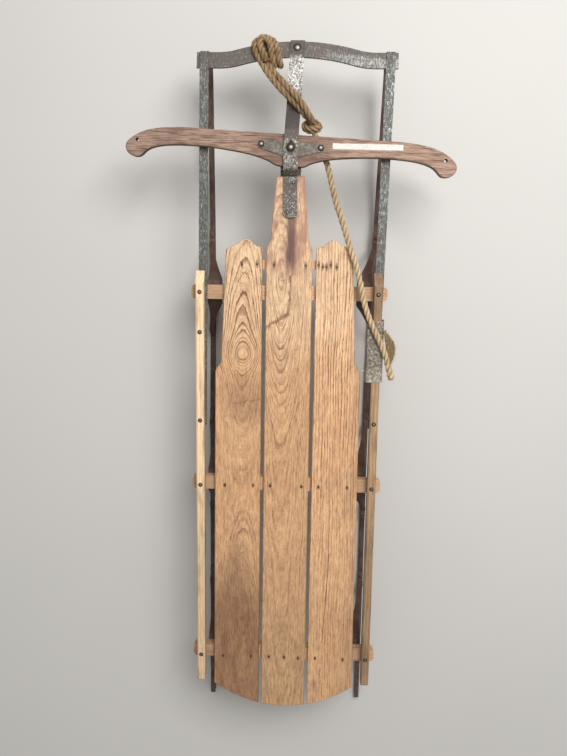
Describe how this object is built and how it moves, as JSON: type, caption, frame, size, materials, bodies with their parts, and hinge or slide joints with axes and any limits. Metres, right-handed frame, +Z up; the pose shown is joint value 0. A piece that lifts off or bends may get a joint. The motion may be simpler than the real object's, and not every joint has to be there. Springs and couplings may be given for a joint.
{
  "type": "steerable runner sled",
  "caption": "Old wooden steerable sled: slatted deck on steel runners and arched knees, pivoting steering bar, bowed bumper, and a short rope tied at the front.",
  "frame": {"origin": "on the ground under the middle of the sled's length and width", "axes": "+Z up, +Y forward towards the bumper, +X to the rider's right"},
  "size_m": [0.6977, 1.6154, 0.2138],
  "materials": {
    "deck_wood": "aged oak, thin worn varnish",
    "rail_wood": "aged oak, worn varnish",
    "bench_wood": "aged oak, dirty",
    "bar_wood": "grey-brown weathered wood",
    "runner_steel": "worn dark red-brown paint on steel",
    "knee_steel": "worn red-brown paint on steel",
    "strap_steel": "dull mottled zinc coat",
    "bumper_steel": "dark dull steel",
    "sheet_zinc": "dull stained galvanised sheet",
    "rivet_steel": "dull dark steel",
    "rope_hemp": "three-strand hemp rope"
  },
  "bodies": {
    "sled": {"slat_left": "deck_wood", "slat_centre": "deck_wood", "slat_right": "deck_wood", "rail_left": "rail_wood", "rail_right": "rail_wood", "bench_front": "bench_wood", "bench_middle": "bench_wood", "bench_rear": "bench_wood", "front_cleat": "bench_wood", "runner_left": "runner_steel", "runner_right": "runner_steel", "knee_front_left": "knee_steel", "knee_front_right": "knee_steel", "knee_middle_left": "knee_steel", "knee_middle_right": "knee_steel", "knee_rear_left": "knee_steel", "knee_rear_right": "knee_steel", "return_strap_left": "strap_steel", "return_strap_right": "strap_steel", "centre_strap": "strap_steel", "lower_pivot_strap": "strap_steel", "bumper_bar": "bumper_steel", "repair_sleeve": "sheet_zinc", "pivot_rivet": "rivet_steel", "teardrop_washer": "rivet_steel", "bumper_rivet": "rivet_steel", "bumper_end_rivets": "rivet_steel", "strap_rivets": "rivet_steel", "rail_rivets_left": "rivet_steel", "rail_rivets_right": "rivet_steel", "knee_rivets_left": "rivet_steel", "knee_rivets_right": "rivet_steel", "rope_wrap": "rope_hemp", "rope_doubled": "rope_hemp", "rope_knot": "rope_hemp", "rope_run": "rope_hemp"},
    "steering": {"steering_bar": "bar_wood", "steering_plate": "strap_steel", "plate_rivets": "rivet_steel"}
  },
  "joints": [
    {"name": "steering_pivot", "type": "hinge", "parent": "sled", "child": "steering", "pos_m": [0, 0.57989, 0.1898], "axis": [0, 0, 1], "range_deg": [-8.7, 15.3]}
  ]
}
